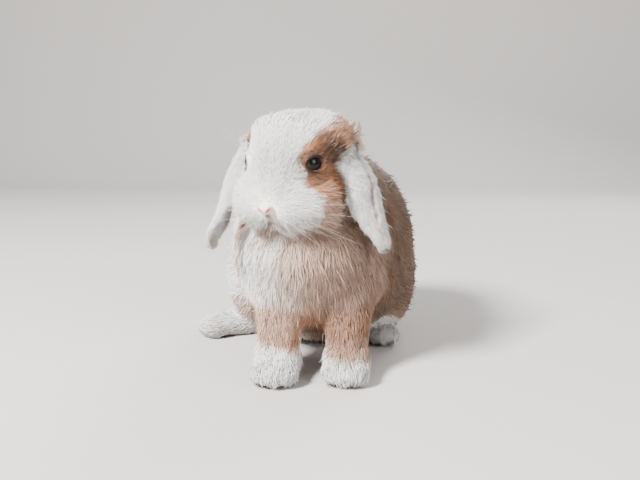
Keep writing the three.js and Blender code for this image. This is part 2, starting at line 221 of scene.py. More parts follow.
def hindfoot(p, limb):
    q = (p - np.asarray(limb["foot"], float)) @ turn_of(limb["foot_yaw"])
    d = mass(q, (0, 0, 0), limb["foot_radii"])
    for across in HIND_TOE_SPREAD:
        toe = (across, TOE_RADIUS - limb["foot_radii"][1] + abs(across) / 2, -2)
        d = blend(d, mass(q, toe, (TOE_RADIUS, TOE_RADIUS * 1.4, TOE_RADIUS)), 5)
    return d


def tail(p):
    return mass(p, TAIL_AT, TAIL_RADII, turn_of(pitch=TAIL_PITCH))


def of_both_sides(measure, p):
    return np.minimum(*[measure(p, LIMBS[side]) for side in SIDES])


def body(p):
    """Signed distance to the outside of the coat, apart from the ears."""
    d = blend(torso(p), head(p), 12)
    for side in SIDES:
        d = blend(d, thigh(p, LIMBS[side]), 10)
    for side in SIDES:
        limb = LIMBS[side]
        d = blend(d, blend(foreleg(p, limb), forepaw(p, limb), 10), 14)
    d = blend(d, of_both_sides(hindfoot, p), 6)
    return blend(d, tail(p), 8)


# ---- Ears: blades that hang through five stations ----


def curve_through(rows, t):
    """Catmull-Rom curve through the rows, at shares t of its length in stations."""
    rows = np.asarray(rows, float)
    last = len(rows) - 1
    ends = np.vstack([2 * rows[0] - rows[1], rows, 2 * rows[-1] - rows[-2]])
    at = np.clip(np.asarray(t) * last, 0, last - 1e-9)
    i = at.astype(int)
    s = (at - i)[:, None]
    a, b, c, d = ends[i], ends[i + 1], ends[i + 2], ends[i + 3]
    return b + s / 2 * (c - a + s * (2 * a - 5 * b + 4 * c - d + s * (3 * (b - c) + d - a)))


class Ear:
    """An ear's middle line, its section and the way its flat faces, station by station."""

    def __init__(self, side):
        shares = np.linspace(0, 1, EAR_STEPS + 1)
        self.at = curve_through(EARS[side]["places"], shares)
        self.size = curve_through(np.column_stack([EARS[side]["widths"], EAR_THICKS]), shares)
        self.out = unit(curve_through(EARS[side]["facing"], shares))

    def measure(self, p):
        """Share along the ear, distances across and through it, its half sizes, and the way it runs."""
        nearest = np.full(len(p), np.inf)
        off, where = np.zeros_like(p), np.zeros(len(p))
        for i in range(EAR_STEPS):
            along = self.at[i + 1] - self.at[i]
            t = np.clip((p - self.at[i]) @ along / (along @ along), 0, 1)
            gap = p - self.at[i] - t[:, None] * along
            closer = (gap * gap).sum(-1) < nearest
            nearest = np.where(closer, (gap * gap).sum(-1), nearest)
            off[closer] = gap[closer]
            where = np.where(closer, i + t, where)
        i = np.minimum(where.astype(int), EAR_STEPS - 1)
        s = (where - i)[:, None]
        out = unit(self.out[i] * (1 - s) + self.out[i + 1] * s)
        along = unit(self.at[i + 1] - self.at[i])
        side = np.cross(along, out)
        size = self.size[i] * (1 - s) + self.size[i + 1] * s
        through = (off * out).sum(-1)
        across = np.sqrt(np.maximum(nearest - through**2, 0))
        signed = across * np.sign((off * side).sum(-1))
        return where / EAR_STEPS, signed, through, size, along


EAR = {side: Ear(side) for side in SIDES}
EAR_COAT = 2.2
EAR_CUP = 0.012  # how much an ear's edges curl towards the head


def fold_line(share):
    """Where the groove in an ear's face runs, as a share of its half width."""
    return 0.45 - 0.5 * ramp(share, 0.4, 0.8)


def ear_skin(p, side, measured=None):
    share, across, through, size, _ = measured or EAR[side].measure(p)
    width, thick = size[:, 0] - EAR_COAT, np.maximum(size[:, 1] - EAR_COAT - 0.6, 2.0)
    through = through + EAR_CUP * across**2 - 1.0
    reach = np.sqrt((across / width) ** 2 + (through / thick) ** 2)
    slope = np.sqrt((across / width**2) ** 2 + (through / thick**2) ** 2)
    d = reach * (reach - 1) / np.maximum(slope, 1e-9)
    crease = np.hypot(across * side + fold_line(share) * width, through - thick) - 1.8
    shown = ramp(share, 0.1, 0.3) * fade(share, 0.75, 0.95)
    return carve(d, crease + 4 * (1 - shown), 1.5)


# ---- Skin: the same body, drawn in by the depth of its coat ----

EYES = {side: from_head(EYE_AT * [side, 1, 1]) for side in SIDES}


def shares_of(p):
    """How far each point belongs to the head, the legs, the feet, the tail and the rim of an eye."""
    on_head = fade(head(p), 0, 14)
    on_leg = fade(of_both_sides(foreleg, p), -2, 12) * fade(p[:, 2], 55, 85)
    on_foot = fade(np.minimum(of_both_sides(forepaw, p), of_both_sides(hindfoot, p)), 0, 9)
    on_tail = fade(tail(p), 0, 8)
    to_eye = np.minimum(*[length(p - EYES[side]) for side in SIDES])
    return on_head, on_leg, on_foot, on_tail, to_eye


UP_ON_HEAD = np.array([0.0, 0.25, 1.0])


def eye_axes(side):
    """An eye's own axes: along its opening, up, and out the way it looks."""
    out = unit((EYE_LOOK * [side, 1, 1])[None])[0]
    ahead = unit(np.cross(UP_ON_HEAD, out)[None])[0]
    return np.stack([ahead, np.cross(out, ahead), out]) @ HEAD_TURN.T


EYE_AXES = {side: eye_axes(side) for side in SIDES}
# Half the width of an eye's opening, and its height above and below the middle.
LID_WIDE, LID_ABOVE, LID_BELOW = (math.radians(angle) for angle in (43, 26, 31))


def opening_at(bearing):
    tall = np.where(np.sin(bearing) > 0, LID_ABOVE, LID_BELOW)
    return 1 / np.sqrt((np.cos(bearing) / LID_WIDE) ** 2 + (np.sin(bearing) / tall) ** 2)


LID_FOOT = math.radians(53)  # how far from the middle of an eye its lids reach
LID_EDGE = 0.05  # share of the way to the lid's foot that the skin is opened
LID_DEPTH = 0.8  # of the skin that bulges over an eye
LID_REACH = 20.0  # from an eye's centre, past which its lids don't count
LID_RADIUS = 9.0  # of the skin round an eye, which turns angles into millimetres


def past_lids(p):
    """How far a place is outside an eye's opening: 0 at its edge, 1 at the lid's foot; and in mm."""
    share, away = np.full(len(p), np.inf), np.full(len(p), np.inf)
    for side in SIDES:
        ahead, up, out = ((p - EYES[side]) @ EYE_AXES[side].T).T
        opening = opening_at(np.arctan2(up, ahead))
        angle = np.arctan2(np.hypot(ahead, up), out)
        near = length(p - EYES[side]) < LID_REACH
        share = np.where(near, (angle - opening) / (LID_FOOT - opening), share)
        away = np.where(near, (angle - opening - LID_EDGE * (LID_FOOT - opening)) * LID_RADIUS, away)
    return share, away


def coat_depth(p):
    on_head, on_leg, on_foot, _, to_eye = shares_of(p)
    face = ramp(-to_head(p)[:, 1], 5, 50)
    depth = mix(5.0, mix(3.2, 1.6, face), on_head)
    depth = mix(depth, 3.2, on_leg * (1 - on_head))
    depth = mix(depth, 2.2, on_foot)
    return mix(1.2, depth, ramp(to_eye, 10, 19))


SOLE = 0.4  # the flats under the feet and belly, above the ground
LIP_CLEFT = (0, -56.8, -9), (0, -53.6, -18.5)  # its upper and its lower end, in the head's own axes


def mouth_line(side):
    return (0, -53.4, -19), (side * 12, -47.6, -24.5)


def bare_skin(p):
    """The skin before the eyes are opened."""
    d = body(p) + coat_depth(p)
    for side in SIDES:
        d = blend(d, ear_skin(p, side), 2)
        d = blend(d, length(p - EYES[side]) - EYE_RADIUS - LID_DEPTH, 3)
    q = to_head(p)
    d = carve(d, taper(q, *LIP_CLEFT, (1.1, 1.5)), 1.6)
    for side in SIDES:
        d = carve(d, taper(q, *mouth_line(side), (1.3, 0.8)), 1.6)
    return d


def skin(p):
    return np.maximum(carve(bare_skin(p), past_lids(p)[1], 0.5), SOLE - p[:, 2])


def lines(low, high, coarse, dense_low, dense_high, dense):
    """Grid lines from low to high, closer together in the stretch that the head takes."""
    parts = [np.arange(low, dense_low, coarse), np.arange(dense_low, dense_high, dense),
             np.arange(dense_high, high + coarse, coarse)]
    return np.concatenate(parts)


CORNERS = np.array([[i & 1, i >> 1 & 1, i >> 2 & 1] for i in range(8)])
EDGES = np.array([[i, i | bit] for i in range(8) for bit in (1, 2, 4) if not i & bit])


PARTS = 12  # that the grid is measured in, to save memory
SETTLE_ROUNDS = 2
SLOPE_STEP = 0.2
CELL_MARGIN = 0.04  # share of its cell that a point keeps away from the walls


def slope_at(shape, p):
    rises = [shape(p + shift) - shape(p - shift) for shift in np.eye(3) * SLOPE_STEP]
    return np.stack(rises, -1) / (2 * SLOPE_STEP)


def net_over(shape, xs, ys, zs):
    """Points and quads of the surface of a shape: a point in each cell that it crosses."""
    axes = (xs, ys, zs)
    size = tuple(len(a) for a in axes)
    grid = np.stack(np.meshgrid(*axes, indexing="ij"), -1).reshape(-1, 3)
    values = np.concatenate([shape(part) for part in np.array_split(grid, PARTS)]).reshape(size)
    inside = values < 0
    count = sum(inside[i:size[0] - 1 + i, j:size[1] - 1 + j, k:size[2] - 1 + k].astype(np.int8)
                for i, j, k in CORNERS)
    cells = np.argwhere((count > 0) & (count < 8))
    corner = np.stack([values[tuple((cells + c).T)] for c in CORNERS], -1)
    low = np.stack([axes[a][cells[:, a]] for a in range(3)], -1)
    high = np.stack([axes[a][cells[:, a] + 1] for a in range(3)], -1)
    total, crossings = np.zeros((len(cells), 3)), np.zeros(len(cells))
    for a, b in EDGES:
        crossed = (corner[:, a] < 0) != (corner[:, b] < 0)
        t = np.where(crossed, corner[:, a] / np.where(crossed, corner[:, a] - corner[:, b], 1), 0)
        place = CORNERS[a] + t[:, None] * (CORNERS[b] - CORNERS[a])
        total += place * crossed[:, None]
        crossings += crossed
    points = low + total / crossings[:, None] * (high - low)
    margin = CELL_MARGIN * (high - low)
    for _ in range(SETTLE_ROUNDS):
        slope = slope_at(shape, points)
        steep = np.maximum((slope * slope).sum(-1), 0.05)
        points = points - slope * (shape(points) / steep)[:, None]
        points = np.clip(points, low + margin, high - margin)
    index = np.full(tuple(n - 1 for n in size), -1)
    index[tuple(cells.T)] = np.arange(len(cells))
    step = np.eye(3, dtype=int)
    quads = []
    for axis in range(3):
        u, v = (axis + 1) % 3, (axis + 2) % 3
        first = np.moveaxis(inside, axis, 0)
        changed = np.argwhere(first[:-1] != first[1:])
        place = np.empty_like(changed)
        place[:, [axis, *sorted((u, v))]] = changed
        place = place[(place[:, u] > 0) & (place[:, v] > 0)]
        shifts = (step[u] * 0, step[u], step[u] + step[v], step[v])
        ring = np.stack([index[tuple((place - shift).T)] for shift in shifts], -1)
        outward = inside[tuple(place.T)]
        quads.append(np.where(outward[:, None], ring, ring[:, ::-1]))
    return points, np.concatenate(quads)


# ---- Meshes ----

COLOURS = "Coat"  # the layer of a mesh that its finish takes its colour from


def placed(name, data):
    thing = bpy.data.objects.new(name, data)
    bpy.context.scene.collection.objects.link(thing)
    return thing


def mesh_piece(name, points, faces, material, colours):
    """A piece of the animal from points in its own axes, riding on the root body."""
    mesh = bpy.data.meshes.new(name)
    sides = faces.shape[1]
    mesh.vertices.add(len(points))
    mesh.vertices.foreach_set("co", ((points + STANCE) * MM).astype(np.float32).ravel())
    mesh.loops.add(faces.size)
    mesh.loops.foreach_set("vertex_index", faces.astype(np.int32).ravel())
    mesh.polygons.add(len(faces))
    mesh.polygons.foreach_set("loop_start", np.arange(0, faces.size, sides, dtype=np.int32))
    mesh.polygons.foreach_set("use_smooth", np.full(len(faces), True))
    layer = mesh.color_attributes.new(COLOURS, "FLOAT_COLOR", "POINT")
    full = np.column_stack([colours, np.ones(len(colours))]).astype(np.float32)
    layer.data.foreach_set("color", full.ravel())
    mesh.update(calc_edges=True)
    mesh.materials.append(material)
    piece = placed(name, mesh)
    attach(piece, "root")
    return piece


# ---- Markings, shared by the skin and the coat ----


def tint(red, green, blue):
    """A named colour, 0 to 255 as seen, as the linear values that shaders use."""
    seen = np.array([red, green, blue]) / 255
    return np.where(seen <= 0.04045, seen / 12.92, ((seen + 0.055) / 1.055) ** 2.4)


WHITE = tint(240, 236, 231)
CREAM = tint(226, 205, 190)
PALE_TAN = tint(200, 158, 133)
ORANGE = tint(198, 132, 88)
BROWN = tint(94, 62, 44)
DARK = tint(52, 34, 26)
SMOKE = tint(84, 60, 48)
AGOUTI = tint(114, 91, 73)
PINK = tint(222, 168, 158)

# How far from the midline the patch round an eye starts, from low on the cheek to the crown.
PATCH_HEIGHTS = (-44, -34, -30, -23, -15, -6, -1, 2, 5, 8, 15, 25, 29, 32, 35, 38, 41, 46)
PATCH_EDGES = (12, 21, 29, 35, 38.5, 39, 37.5, 34, 27.5, 24.5, 22, 20.5, 21.5, 27, 31, 33, 35, 40)


def wobble(p, size):
    """Smooth noise about zero, with features of the given size."""
    q = p / size
    total = np.sin(q @ [1.3, 2.1, 0.7] + 0.4) * np.sin(q @ [-0.9, 1.1, 2.3] + 2.0)
    return total + 0.5 * np.sin(q @ [2.9, -3.1, 2.2] + 1.0) * np.sin(q @ [3.7, 2.3, -2.6])


def near_line(q, start, end, reach):
    return fade(taper(q, start, end, (0, 0)), 0.4 * reach, reach)


# Lines in the patch: colour, strength, and the ends and the reach in the left half of the head.
PALE_LINES = (
    (PALE_TAN, 0.6, (36, -31, 4), (44, -27, -4), 7),
    (PALE_TAN, 0.5, (39, -3, 25), (43, 6, 20), 8),
)
STREAKED_LINES = (
    (SMOKE, 1.0, (26, -27, 21), (42, -6, 17), 12),
    (SMOKE, 0.8, (33, -8, 31), (40, -5, 24), 9),
    (SMOKE, 0.9, (26, -33, 13), (37, -24, 19), 7),
    (BROWN, 0.9, (42, -16, 6), (47, -21, -14), 7.5),
)


def head_markings(q, p):
    rim, _ = past_lids(p)
    colour = paint(WHITE, CREAM, 0.35 * ramp(-q[:, 2], 8, 34))
    for side in SIDES:
        x = q[:, 0] * side + 1.4 * wobble(p, 9)
        edge = np.interp(q[:, 2], PATCH_HEIGHTS, PATCH_EDGES) + (0 if side == 1 else 11)
        m = q * [side, 1, 1]
        streaks = np.clip(0.95 + 0.4 * wobble(m * [1, 1, 2.4], 3.2), 0, 1)
        patch = layered(
            ORANGE,
            (PALE_TAN, np.maximum(0.6 * ramp(m[:, 1], -8, 14), ramp(-m[:, 2], 2, 12))),
            (CREAM, np.maximum(0.7 * ramp(m[:, 1], 16, 34), 0.3 * ramp(-m[:, 2], 12, 24))),
            (CREAM, 0.6 * ramp(m[:, 2], 27, 35)),
            *[(shade, strength * near_line(m, *line)) for shade, strength, *line in PALE_LINES],
            *[(shade, strength * streaks * near_line(m, *line))
              for shade, strength, *line in STREAKED_LINES],
            (BROWN, 0.8 * fade(rim, 0.5, 1.7)),
        )
        colour = paint(colour, patch, ramp(x - edge, -1.8, 1.8))
    # Tan and brown under the chin: partly the coat's own colour, partly painted shade under the muzzle.
    chin = fade(length((q - [-7, -44, -32]) * [0.8, 0.8, 1.0]), 5, 13)
    return layered(
        colour,
        (DARK, 0.85 * fade(rim, 0.12, 0.55)),
        (paint(PALE_TAN, BROWN, 0.35), 0.7 * chin * ramp(-q[:, 2], 22, 26)),
        # The lip's cleft is bare skin painted a darkened pink, and brown runs along each side of the
        # mouth: painted shade in these grooves.
        (PINK * 0.45, 0.9 * near_line(q, *LIP_CLEFT, 3.0)),
        *[(BROWN, 0.6 * near_line(q, *mouth_line(side), 3.6)) for side in SIDES],
        (PINK, 0.35 * fade(length((q - NOSE_AT) * NOSE_REACH), 3.5, 6)),
    )


def trunk_markings(p):
    x, y, z = p.T
    drift = 9 * wobble(p, 26) + 3 * wobble(p, 8)
    tan = paint(PALE_TAN, ORANGE, 0.4)
    band = ramp(z + 0.5 * drift, 18, 30) * fade(z + 0.7 * drift, 46, 74) * fade(y, -26, -8)
    # Browner on the animal's left leg, the side turned from the key light: partly the legs' own brown,
    # partly painted shade.
    leg_brown_and_shade = np.maximum(ramp(x, -10, 26), fade(np.abs(x - 15), 6, 22))
    behind_leg = np.abs(y - np.interp(z, (40, 64, 91, 115), (14, -9, -17, -26)) + 0.2 * drift)
    throat = fade(length(p - [-38, -70, 116]), 6, 17)
    start = np.where(x > 0, -34, 58) + 0.25 * np.abs(z - 90) - 40 * ramp(z, 120, 165) * (x < 0)
    saddle = ramp(y + drift - start, -10, 16) * ramp(z + 0.5 * drift, 16, 40)
    nape = ramp(z, 140, 172) * fade(y, -8, 26)
    rusty = paint(ORANGE, BROWN, 0.5)
    flank = layered(AGOUTI, (rusty, 0.3 * ramp(wobble(p, 17), -0.6, 0.9)), (PALE_TAN, 0.65 * nape))
    return layered(
        WHITE,
        # Whiter on the animal's right, tan and then browner towards its left: partly the coat's own tan,
        # partly painted shade on the side turned from the key light.
        (PALE_TAN, 0.85 * ramp(x + drift, -38, 0)),
        (BROWN, 0.34 * ramp(x + drift, -16, 34)),
        (paint(tan, BROWN, 0.16 + 0.34 * leg_brown_and_shade), 0.85 * band),
        # A tan streak down the animal's right side between shoulder and thigh, with a brown middle that
        # is painted shade in the crease there.
        (PALE_TAN, fade(behind_leg, 4, 13) * ramp(-x, 34, 50)),
        (BROWN, 0.6 * fade(behind_leg, 0, 5) * ramp(-x, 44, 56)),
        (paint(PALE_TAN, BROWN, 0.3), 0.75 * throat),
        (tan, 0.6 * ramp(-x, 36, 50) * fade(z + 0.3 * drift, 34, 50)),
        (flank, saddle),
    )


def markings(p):
    """The coat's colour at a place on the animal."""
    on_head, _, on_foot, on_tail, _ = shares_of(p)
    sock = fade(p[:, 2] + 2.5 * wobble(p, 12) + 0.13 * (p[:, 0] + 29), 22, 30)
    front = fade(p[:, 1], -38, -26)
    colour = layered(
        trunk_markings(p),
        (paint(AGOUTI, WHITE, ramp(p[:, 1], 146, 158)), on_tail),
        (head_markings(to_head(p), p), ramp(on_head, 0.35, 0.75)),
        (WHITE, np.maximum(sock * front, ramp(on_foot, 0.3, 0.8) * (1 - front))),
    )
    for side in SIDES:
        measured = EAR[side].measure(p)
        share, across, through, size, _ = measured
        off = ear_skin(p, side, measured)
        over = ramp(1 - np.abs(across) / size[:, 0], 0, 0.3) * (through > 0)
        on_ear = fade(off, 0.7, 1.7 + 3 * over) * ramp(share, 0.02, 0.07)
        # Painted shadow: dark on the head's coloured fur close beside each ear, where the ear stands off
        # the head.
        ear_edge_shadow = fade(off, 2.5, 6.0) * ramp(share, 0.03, 0.1) * fade(colour.mean(-1), 0.5, 0.7)
        groove = fade(np.abs(across * side + fold_line(share) * size[:, 0]), 1, 3.5) * ramp(through, 0, 2)
        groove = 0.6 * groove * ramp(share, 0.3, 0.45) * fade(share, 0.75, 0.95)
        lining = fade(through, -2.5, -1) * fade(np.abs(across) / size[:, 0], 0.55, 0.8)
        ear = layered(
            WHITE,
            (PALE_TAN, 0.3 * ramp(share, 0.93, 1.0)),
            (PALE_TAN, 0.7 * fade(share, 0.04, 0.11)),
            (PINK, np.maximum(groove, 0.35 * lining)),
        )
        colour = layered(colour, (DARK, 0.75 * ear_edge_shadow), (ear, on_ear))
    return colour


# ---- The lie of the coat ----


def lie_of_coat(p, normal):
    """The way the hairs point along the skin, and how steeply they stand, as the sine of the angle."""
    on_head, on_leg, on_foot, on_tail, _ = shares_of(p)
    q = to_head(p)
    x, y, z = p.T
    back = np.stack([0.12 * np.sign(x), np.full(len(p), 0.9), -0.25 - 0.6 * ramp(y, 40, 140)], -1)
    front = np.stack([0.012 * (x + 5), np.zeros(len(p)), -np.ones(len(p))], -1)
    lie = paint(back, front, ramp(-normal[:, 1], -0.1, 0.55) * fade(y, 0, 30))
    lie = paint(lie, [0, -0.15, -1.0], on_leg * (1 - on_head))
    from_nose = unit(q - [0, -66, -2])
    from_nose[:, 2] -= 0.9 * ramp(np.abs(q[:, 0]), 14, 40) * ramp(-q[:, 2], -20, 15)
    on_lip = fade(length((q - [0, -54, -20]) * [0.45, 0.8, 1]), 4, 11)
    down = np.stack([0.02 * q[:, 0] + 0.3 * np.sign(q[:, 0]), 0 * x, 0 * x - 1], -1)
    from_nose = paint(from_nose, down, on_lip)
    lie = paint(lie, from_nose @ HEAD_TURN.T, on_head)
    for side in SIDES:
        limb = LIMBS[side]
        on_paw = fade(forepaw(p, limb), 0, 9)
        lie = paint(lie, [0, -0.9, -0.5], on_paw * ramp(30 - z, 0, 16))
        toes = turn_of(limb["foot_yaw"]) @ np.array([0, -1, -0.15])
        lie = paint(lie, toes, fade(hindfoot(p, limb), 0, 8))
    lie = paint(lie, [0, 0.35, 1.0], on_tail)
    stand = np.full(len(p), 0.45) + 0.06 * wobble(p, 15)
    stand = mix(stand, mix(0.52, 0.30, ramp(-q[:, 1], -6, 40)), on_head)
    stand = mix(stand, 0.42, np.maximum(on_leg * (1 - on_head), on_foot))
    stand = mix(stand, 0.5, on_tail)
    for side in SIDES:
        measured = EAR[side].measure(p)
        share, along = measured[0], measured[4]
        on_ear = fade(ear_skin(p, side, measured), 0.5, 2.5) * ramp(share, 0.02, 0.1)
        lie = paint(lie, along, on_ear)
        stand = mix(stand, 0.30, on_ear)
    return lie, stand


# ---- Materials ----


def fill(node, values):
    for socket, value in values.items():
        node.inputs[socket].default_value = value


def shader(name, roughness, specular, sheen=0.0, bump=None):
    """A finish whose colour is a mesh's own layer, with a bump of a given fineness and height."""
    material = bpy.data.materials.new(name)
    material.use_nodes = True
    nodes, links = material.node_tree.nodes, material.node_tree.links
    finish = nodes["Principled BSDF"]
    fill(finish, {"Roughness": roughness, "Specular IOR Level": specular, "Sheen Weight": sheen,
                  "Sheen Roughness": 0.5})
    layer = nodes.new("ShaderNodeAttribute")
    layer.attribute_name = COLOURS
    links.new(layer.outputs["Color"], finish.inputs["Base Color"])
    if bump:
        scale, distance = bump
        place = nodes.new("ShaderNodeTexCoord")
        noise = nodes.new("ShaderNodeTexNoise")
        fill(noise, {"Scale": scale, "Detail": 4})
        rise = nodes.new("ShaderNodeBump")
        fill(rise, {"Strength": 0.6, "Distance": distance})
        links.new(place.outputs["Object"], noise.inputs["Vector"])
        links.new(noise.outputs["Fac"], rise.inputs["Height"])
        links.new(rise.outputs["Normal"], finish.inputs["Normal"])
    return material


def lit_through(material, share):
    """Lets some light through a finish from behind, as thin hairs do."""
    nodes, links = material.node_tree.nodes, material.node_tree.links
    layer = next(node for node in nodes if node.type == "ATTRIBUTE")
    through = nodes.new("ShaderNodeBsdfTranslucent")
    both = nodes.new("ShaderNodeMixShader")
    both.inputs["Fac"].default_value = share
    links.new(layer.outputs["Color"], through.inputs["Color"])
    links.new(nodes["Principled BSDF"].outputs["BSDF"], both.inputs[1])
    links.new(through.outputs["BSDF"], both.inputs[2])
    links.new(both.outputs["Shader"], nodes["Material Output"].inputs["Surface"])
    return material


SKIN = shader("short_down", 0.8, 0.2, 0.2, bump=(1400, 0.0006))
FUR = lit_through(shader("fur", 0.62, 0.25, 0.25), 0.35)
WHISKER = lit_through(shader("whisker", 0.35, 0.4), 0.3)
EYE = shader("wet_eye", 0.06, 0.22)
LID = shader("eyelid", 0.6, 0.15)
NOSE = shader("bare_nose", 0.5, 0.35, bump=(2600, 0.0003))
CLAW = shader("claw", 0.35, 0.4)

# ---- The skin ----

XS = lines(-124, 96, 3.0, -86, 66, 1.6)
YS = lines(-122, 178, 3.2, -114, -20, 1.6)
ZS = lines(-4, 220, 2.8, 102, 208, 1.6)
skin_points, skin_quads = net_over(skin, XS, YS, ZS)
skin_piece = mesh_piece("skin", skin_points, skin_quads, SKIN, markings(skin_points))
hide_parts("head", "neck", "trunk", "tail", *[
    f"{part}_{SIDE_NAME[side]}" for side in SIDES
    for part in ("ear", "foreleg", "forepaw", "thigh", "hindfoot")])

# ---- The coat: tufts rooted in the skin, each a thin closed spike ----


class Ground:
    """The skin's triangles, to root tufts in."""

    def __init__(self, points, quads):
        faces = np.concatenate([quads[:, [0, 1, 2]], quads[:, [0, 2, 3]]])
        a, b, c = [points[faces[:, i]] for i in range(3)]
        cross = np.cross(b - a, c - a)
        self.corners = (a, b, c)
        self.area = length(cross) / 2
        self.middle = (a + b + c) / 3
        normals = np.zeros_like(points)
        for i in range(3):
            np.add.at(normals, faces[:, i], cross)
        normals = unit(normals)
        self.normals = [normals[faces[:, i]] for i in range(3)]

    def roots(self, weight, number):
        """That many places and normals, spread over the triangles by weight for each area."""
        heap = np.cumsum(self.area * weight)
        draw = (np.arange(number) + rng.random(number)) / number * heap[-1]
        face = np.minimum(np.searchsorted(heap, draw), len(heap) - 1)
        u, v = rng.random(number), rng.random(number)
        over = u + v > 1
        u[over], v[over] = 1 - u[over], 1 - v[over]
        shares = np.stack([1 - u - v, u, v], -1)[:, :, None]
        place = sum(shares[:, i] * self.corners[i][face] for i in range(3))
        normal = unit(sum(shares[:, i] * self.normals[i][face] for i in range(3)))
        return place, normal


def octahedral(direction):
    """A direction's place on a square that the whole round is unfolded to."""
    d = direction / np.maximum(np.abs(direction).sum(-1), 1e-9)[:, None]
    x, y = d[:, 0], d[:, 1]
    low = d[:, 2] < 0
    folded_x = np.where(low, (1 - np.abs(y)) * np.where(x < 0, -1, 1), x)
    folded_y = np.where(low, (1 - np.abs(x)) * np.where(y < 0, -1, 1), y)
    return np.stack([folded_x, folded_y], -1) * 0.48 + 0.5


def unwrapped(p, kind):
    """Where a root lies on an unwrap of the skin's own shape."""
    if kind == "head":
        return octahedral(to_head(p) / [42, 50, 36])
    if kind == "ears":
        place = np.zeros((len(p), 2))
        for i, side in enumerate(SIDES):
            share, across, through, size, _ = EAR[side].measure(p)
            mine = (p[:, 0] > -12) == (side == 1)
            around = np.arctan2(through / size[:, 1], across / size[:, 0]) / (2 * math.pi) + 0.5
            place[mine] = np.stack([0.02 + i * 0.5 + 0.46 * around, 0.03 + 0.94 * share], -1)[mine]
        return place
    if kind == "limbs":
        left, hind = p[:, 0] > -12, p[:, 1] > 5
        middle = np.where(hind[:, None], [[0, 55, 14]], [[0, -52, 34]])
        middle[:, 0] = np.where(left, np.where(hind, 50, 26), np.where(hind, -74, -28))
        cell = np.stack([left, hind], -1) * 0.5
        return octahedral((p - middle) / [18, 30, 30]) * 0.49 + cell + 0.005
    return octahedral((p - [-2, 40, 88]) / [84, 110, 90])


PATCH = 0.003  # a tuft's width on that unwrap
SKIN_SHADE = 0.15  # how far a tuft is shaded as the skin under it is
STRAIGHT, BENT = 4, 5  # corners of a tuft: three at its root or waist, its tip, and a sunk root
FACES = {
    STRAIGHT: [[0, 2, 1], [0, 1, 3], [1, 2, 3], [2, 0, 3]],
    BENT: [[4, 1, 0], [4, 2, 1], [4, 0, 2], [0, 1, 3], [1, 2, 3], [2, 0, 3]],
}
SPOTS = np.array([[0.1, 0.35], [0.9, 0.35], [0.5, 0.55], [0.5, 0.98], [0.5, 0.02]])  # on its patch


def spikes(name, roots, waists, tips, thick, kind, colours, normals):
    """One mesh of thin closed tufts: three-sided, widest at the root, or at the waist if it has one."""
    bent = waists is not None
    middle = waists if bent else roots
    along = unit(tips - middle)
    across = unit(np.cross(normals, along))
    above = np.cross(along, across)
    places = [middle + across * (aside * thick)[:, None] + above * (up * thick)[:, None]
              for aside, up in ((-0.5, -0.15), (0.5, -0.15), (0, 0.45))]
    places += [tips, roots] if bent else [tips]
    root_shade, base, tip = colours
    # Corners at the root take the colour with painted shade; a bent tuft's waist takes the middle colour.
    shades = [base, base, base, tip, root_shade] if bent else [root_shade, root_shade, root_shade, tip]
    corners = BENT if bent else STRAIGHT
    points = np.stack(places, 1)
    points[..., 2] = np.maximum(points[..., 2], SOLE + 0.15)
    faces = np.array(FACES[corners])[None] + np.arange(len(roots))[:, None, None] * corners
    faces = faces.reshape(-1, 3)
    piece = mesh_piece(name, points.reshape(-1, 3), faces, FUR, np.stack(shades, 1).reshape(-1, 3))
    patch = (SPOTS[:corners] - 0.5) * PATCH
    places = (unwrapped(roots, kind)[:, None] + patch[None]).reshape(-1, 2)
    layer = piece.data.uv_layers.new(name="OFBake")
    layer.uv.foreach_set("vector", places[faces.ravel()].astype(np.float32).ravel())
    own = [-across * 0.8 - above * 0.6, across * 0.8 - above * 0.6, above, above, above]
    soft = unit(normals[:, None] * SKIN_SHADE + np.stack(own[:corners], 1) * (1 - SKIN_SHADE))
    piece.data.normals_split_custom_set_from_vertices(soft.reshape(-1, 3).tolist())
    return piece


def gathered(roots, tips, every, pull):
    """The tips drawn together towards the nearest of a few leading tufts, so that locks form."""
    leaders = np.arange(0, len(roots), every)
    tree = kdtree.KDTree(len(leaders))
    for i, leader in enumerate(leaders):
        tree.insert(roots[leader], i)
    tree.balance()
    nearest = leaders[[tree.find(root)[1] for root in roots]]
    return tips + (tips[nearest] - roots[nearest] * 0.4 - tips + roots * 0.4) * pull[:, None]


BEND = 0.4  # how far along a bent tuft its waist is
SUNK = 0.5  # how far under the skin a tuft is rooted
STRAYS_ON_HEAD, STRAYS = 0.05, 0.01  # share of tufts that stand out from the rest
TICKED = 0.36  # share of dark tufts with darker tips


def leaning(lie, normals, steep):
    """Directions that lean out of the lie of the coat, steep being the sine of the angle."""
    return unit(lie * np.sqrt(1 - steep**2)[:, None] + normals * steep[:, None])


def tuft_colours(roots, tips, seen, loose):
    """Colours of tufts at the root, darkened as painted shade in the coat, in the middle and at the tip,
    lightened a little as painted light, for the places that they cover.
    """
    base = paint(markings(roots * (1 - seen) + tips * seen), CREAM, 0.75 * loose)
    light = 1 + 0.11 * rng.standard_normal(len(roots))[:, None] + 0.05 * wobble(roots, 6)[:, None]
    base = np.clip(base * light, 0.01, 0.9)
    white = ramp(base.mean(-1), 0.45, 0.75)[:, None]
    ticked = (rng.random(len(roots)) < TICKED)[:, None] * (1 - white)
    # Tips a little lighter as painted light, and darker where a tuft is ticked.
    tip = np.clip(base * mix(1.08, 1.03, white), 0, 0.92) * (1 - 0.55 * ticked)
    # The root colour is the middle one darkened as painted shade in the coat, less so in white fur.
    return base * mix(0.58, 0.92, white), base, tip


